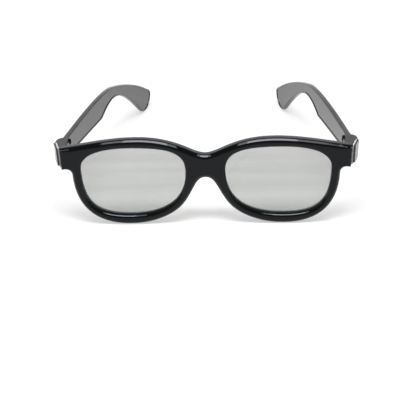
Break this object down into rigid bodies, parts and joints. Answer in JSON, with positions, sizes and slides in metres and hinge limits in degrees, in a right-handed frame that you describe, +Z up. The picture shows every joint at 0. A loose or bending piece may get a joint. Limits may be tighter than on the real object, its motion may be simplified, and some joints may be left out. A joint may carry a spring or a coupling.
{
  "type": "polarized glasses",
  "caption": "Passive polarized viewing glasses with a two-part moulded front, laminated grey film lenses and folding temples with hooked ends",
  "frame": {"origin": "Centre of the footprint of the opened glasses, on the surface that they stand on", "axes": "+X to the wearer's left, which is the picture's right; +Y from the front towards the ends of the temples; +Z up"},
  "size_m": [0.1524, 0.1592, 0.0467],
  "materials": {
    "glossy_front": "polished black",
    "satin_rear": "fine satin, dark grey",
    "retarder_film": "clear film",
    "polarizer_film": "neutral grey film",
    "cover_plastic": "semi-gloss dark grey",
    "pad_foam": "light grey, matt",
    "pin_steel": "plain steel",
    "temple_plastic": "satin, dark grey"
  },
  "bodies": {
    "front": {"front_frame": "glossy_front", "rear_frame": "satin_rear", "left_retarder": "retarder_film", "right_retarder": "retarder_film", "left_polarizer": "polarizer_film", "right_polarizer": "polarizer_film", "left_cover_pad": "pad_foam", "right_cover_pad": "pad_foam", "left_hinge_cover": "cover_plastic", "right_hinge_cover": "cover_plastic", "left_hinge_pin": "pin_steel", "right_hinge_pin": "pin_steel"},
    "left_arm": {"left_temple": "temple_plastic"},
    "right_arm": {"right_temple": "temple_plastic"}
  },
  "joints": [
    {"name": "left_temple_fold", "type": "hinge", "parent": "front", "child": "left_arm", "pos_m": [0.0721, -0.06451, 0.03529], "axis": [0, 0.0349, 0.9994], "range_deg": [0, 80]},
    {"name": "right_temple_fold", "type": "hinge", "parent": "front", "child": "right_arm", "pos_m": [-0.0721, -0.06451, 0.03529], "axis": [0, -0.0349, -0.9994], "range_deg": [0, 75]}
  ]
}
